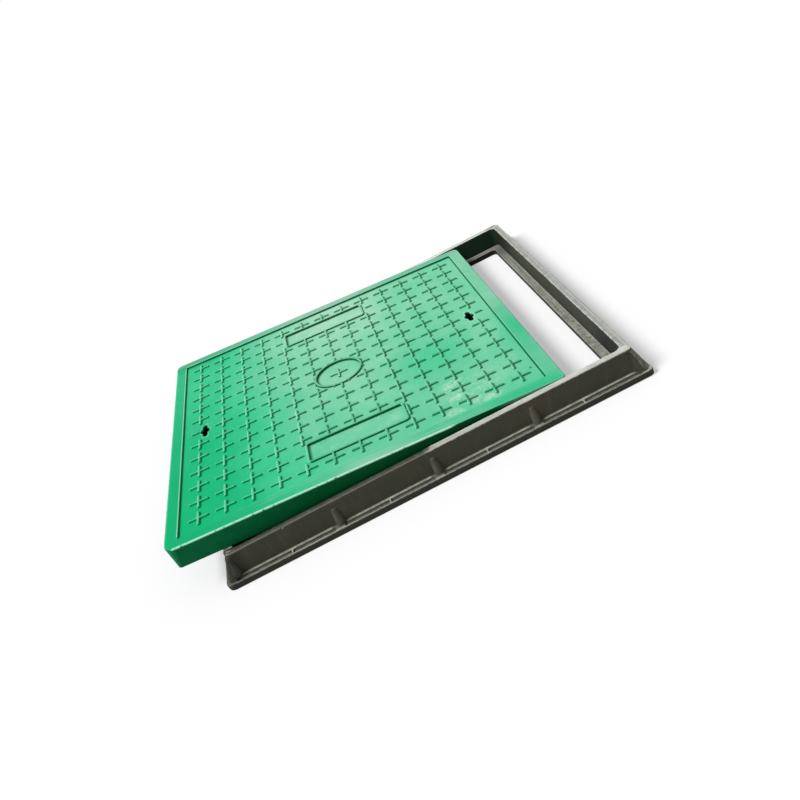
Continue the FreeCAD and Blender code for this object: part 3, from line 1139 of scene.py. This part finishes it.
def charcoal_seat(s, patches, mottle, along):
    """Lengthwise streaks and spots, with a lighter line where the wall begins."""
    seat = s.mix((along, 0.36, 0.64), (112, 113, 102), (150, 151, 141))
    seat = s.mix(s.times((patches, 0.50, 0.68), 0.4), seat, (170, 171, 162))
    seat = s.mix(s.times((s.reach, 0.3245, 0.3262), 0.5), seat, (168, 169, 160))
    seat = s.mix(s.times((s.reach, 0.3142, 0.3128), 0.6), seat, (176, 177, 168))
    spotted = s.rise((s.v, -0.05, -0.15), 0.25, 0.35)
    seat = s.mix(s.times((mottle, 0.52, 0.66), spotted), seat, (180, 182, 174))
    seat = s.mix(s.times((mottle, 0.48, 0.34), spotted), seat, (88, 90, 81))
    far_corner = s.times(s.blob((0.322, 0.290), (0.030, 0.060)), 0.8)
    return s.mix(far_corner, seat, (86, 91, 83))


def charcoal_rim(s, patches, mottle, chatter, along, near_side, bare, bare_here):
    """Dull at the left of the near side, bare and pale towards the right and elsewhere."""
    rim = s.mix((along, 0.36, 0.64), (140, 142, 135), (160, 163, 156))
    rim = s.mix(s.times((mottle, 0.52, 0.70), 0.3), rim, (122, 124, 116))
    pale = s.mix((patches, 0.35, 0.65), (176, 176, 165), (208, 210, 199))
    dull = s.mix((mottle, 0.4, 0.7), (70, 74, 64), (92, 96, 85))
    rim = s.mix(near_side, rim, s.mix(bare, dull, pale))
    far = s.mix((s.u, 0.250, 0.150), (206, 212, 206), (236, 241, 236))
    rim = s.mix((s.v, 0.325, 0.330), rim, far)
    outer_line = s.times((s.reach, 0.3375, 0.3392), (chatter, 0.26, 0.44), 0.8)
    rim = s.mix(outer_line, rim, s.mix(bare_here, (114, 118, 107), (178, 180, 172)))
    inner_line = s.times((s.reach, 0.3325, 0.3312), (chatter, 0.35, 0.55),
                         s.rise(bare_here, 0.1, 0.6))
    rim = s.mix(inner_line, rim, (212, 214, 208))
    rim = s.mix(s.blob((0.329, 0.343), (0.026, 0.020)), rim, (92, 101, 95))
    return s.mix(s.times(s.spots(s.most, RIM_CHIPS), 0.9), rim, (176, 178, 172))


def charcoal_arrises(s, colour, chatter, near_side, bare, bare_here):
    """Worn arrises of rim and base, and painted shade in the gap under the cover at the near side.
    """
    # Painted shade on the rim's inner edge under the cover
    gap_shade = s.times((s.reach, 0.3330, 0.3316), near_side, s.less(1.0, bare), 0.85)
    colour = s.mix(gap_shade, colour, (30, 32, 27))
    rim = s.times((s.w, 0.0480, 0.0488), (chatter, 0.42, 0.6),
                  s.most(bare_here, (s.reach, 0.3365, 0.3385)), 0.45)
    colour = s.mix(rim, colour, s.mix(bare_here, (104, 107, 97), (190, 192, 184)))
    base = s.times((s.reach, 0.3575, 0.3588), (s.w, 0.0088, 0.0098), (chatter, 0.40, 0.58), 0.5)
    return s.mix(base, colour, (150, 151, 141))


def charcoal_moulding(matrix):
    """Charcoal moulding: worn grey on rim, seat and flange, dark and brownish elsewhere, with
    painted light and shade on walls, ribs and gussets.
    """
    s = Moulding("charcoal_moulding_look", matrix)
    u, v, w = s.u, s.v, s.w
    broad = s.cloud(s.at, 7.0, 3.0, 0.55)
    patches = s.cloud(s.at, 26.0, 4.0, 0.6, 0.5)
    mottle = s.cloud(s.at, 110.0, 4.0, 0.65)
    chatter = s.cloud(s.at, 150.0, 4.0, 0.7)
    grain = s.cloud(s.at, 900.0, 2.0, 0.6)
    streaks = s.cloud(s.stretch(s.at, 90.0, 90.0, 18.0), 1.0, 4.0, 0.65, 0.6)
    lengthwise = s.mix((s.less(s.size(u), s.size(v)), -0.002, 0.002),
                       s.stretch(s.at, 9.0, 300.0, 1.0), s.stretch(s.at, 300.0, 9.0, 1.0))
    along = s.cloud(lengthwise, 1.0, 4.0, 0.65)
    corner = s.least(s.size(u), s.size(v))
    near_left = s.times((u, -0.310, -0.326), (v, -0.310, -0.326))
    near_side = s.ease(v, -0.325, -0.329)
    bare = s.ease(s.plus(u, s.sway(patches, 0.05), s.sway(chatter, 0.02)), -0.014, 0.006)
    bare_here = s.most(bare, s.less(1.0, near_side))

    wall = charcoal_walls(s, patches, streaks)
    wall = charcoal_ribs(s, wall, streaks, corner, near_left)
    flat = charcoal_flange(s, mottle, chatter, corner, near_left)
    on_seat = s.times((s.reach, 0.3285, 0.3275), (w, 0.0125, 0.0115))
    flat = s.mix(on_seat, flat, charcoal_seat(s, patches, mottle, along))
    rim = charcoal_rim(s, patches, mottle, chatter, along, near_side, bare, bare_here)
    flat = s.mix((w, 0.0480, 0.0492), flat, rim)
    between = s.times((w, 0.0125, 0.0135), (w, 0.0482, 0.0474))
    is_flat = s.times(s.facing((0, 0, 1), 0.5, 0.9), s.less(1.0, between))
    colour = s.mix(is_flat, wall, flat)
    colour = charcoal_arrises(s, colour, chatter, near_side, bare, bare_here)

    rough = s.math("ADD", s.rise(patches, 0.5, 0.2), s.sway(mottle, 0.15), clamp=True)
    return s.finish(colour, rough, 0.12, [
        (broad, 0.2, 0.003), (mottle, 0.25, 0.0006), (chatter, 0.2, 0.0004),
        (grain, 0.3, 0.00015)])


# Stage, light and camera

def floor_look():
    """Pale floor, white to the camera, that gives only a little light back; its glow fades where
    the floor is sheltered, as painted shade under the cover.
    """
    s = Nodes(bpy.data.materials.new("floor_look"))
    # Painted shade: the glow fades where the floor is sheltered under the object
    shelter = s.node("ShaderNodeAmbientOcclusion", samples=8)
    shelter.inputs["Distance"].default_value = 0.5
    glow = s.node("ShaderNodeEmission")
    s.feed(glow.inputs["Strength"], s.times((shelter.outputs["AO"], 0.04, 0.22), 0.34))
    white = s.node("ShaderNodeAddShader")
    s.feed(white.inputs[0], s.matt(0.64))
    s.feed(white.inputs[1], glow.outputs[0])
    mixed = s.node("ShaderNodeMixShader")
    s.feed(mixed.inputs[0], s.seen())
    s.feed(mixed.inputs[1], s.matt(0.32))
    s.feed(mixed.inputs[2], white.outputs[0])
    s.feed(s.node("ShaderNodeOutputMaterial").inputs["Surface"], mixed.outputs[0])
    return s.owner


def add_floor():
    bm = bmesh.new()
    bmesh.ops.create_grid(bm, x_segments=1, y_segments=1, size=STUDIO_HALF)
    piece = new_piece("studio_floor", bm)
    piece.data.materials.append(floor_look())


def add_lamp():
    """A soft distant lamp; azimuth 0 stands behind the object, 90 at its right."""
    lamp = bpy.data.lights.new("key_lamp", "SUN")
    lamp.energy = LAMP_STRENGTH
    lamp.angle = math.radians(LAMP_SPREAD)
    holder = bpy.data.objects.new("key_lamp", lamp)
    bpy.context.scene.collection.objects.link(holder)
    turn = math.radians(LAMP_AZIMUTH)
    rise = math.radians(LAMP_ELEVATION)
    toward = Vector((math.sin(turn) * math.cos(rise), math.cos(turn) * math.cos(rise),
                     math.sin(rise)))
    holder.rotation_euler = toward.to_track_quat("Z", "Y").to_euler()


def add_world():
    """White where it is seen, and only as bright as its level where it lights the object."""
    world = bpy.data.worlds.new("studio")
    bpy.context.scene.world = world
    s = Nodes(world)
    background = s.node("ShaderNodeBackground")
    background.inputs["Color"].default_value = (1.0, 1.0, 1.0, 1.0)
    s.feed(background.inputs["Strength"], s.rise(s.seen(), WORLD_LEVEL, 1 - WORLD_LEVEL))
    s.feed(s.node("ShaderNodeOutputWorld").inputs["Surface"], background.outputs[0])


def add_camera():
    """The photograph's view: from the near side, looking down, turned about its axis."""
    azimuth = math.radians(CAMERA_AZIMUTH)
    elevation = math.radians(CAMERA_ELEVATION)
    roll = math.radians(CAMERA_ROLL)
    forward = Vector((math.sin(azimuth) * math.cos(elevation),
                      math.cos(azimuth) * math.cos(elevation), -math.sin(elevation)))
    level = Vector((math.cos(azimuth), -math.sin(azimuth), 0))
    lift = level.cross(forward)
    right = level * math.cos(roll) - lift * math.sin(roll)
    up = level * math.sin(roll) + lift * math.cos(roll)
    turn = Matrix((right, up, -forward)).transposed()
    camera = bpy.data.cameras.new("photo_camera")
    camera.sensor_width = 36.0
    camera.lens = CAMERA_LENS
    camera.shift_x, camera.shift_y = CAMERA_SHIFT
    camera.clip_start = 0.05
    camera.clip_end = 60.0
    holder = bpy.data.objects.new("photo_camera", camera)
    bpy.context.scene.collection.objects.link(holder)
    holder.matrix_world = Matrix.Translation(CAMERA_PLACE) @ turn.to_4x4()
    bpy.context.scene.camera = holder


def main():
    cover_matrix, frame_matrix = rest_places()
    for name, build, matrix, look in (
            ("cover", make_cover, cover_matrix, green_moulding),
            ("frame", make_frame, frame_matrix, charcoal_moulding)):
        piece = build(matrix)
        piece.data.materials.clear()
        piece.data.materials.append(look(matrix))
        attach(piece, "root")
        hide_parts(name)
    add_floor()
    add_lamp()
    add_world()
    add_camera()
    bpy.context.scene.view_settings.view_transform = "Standard"


main()
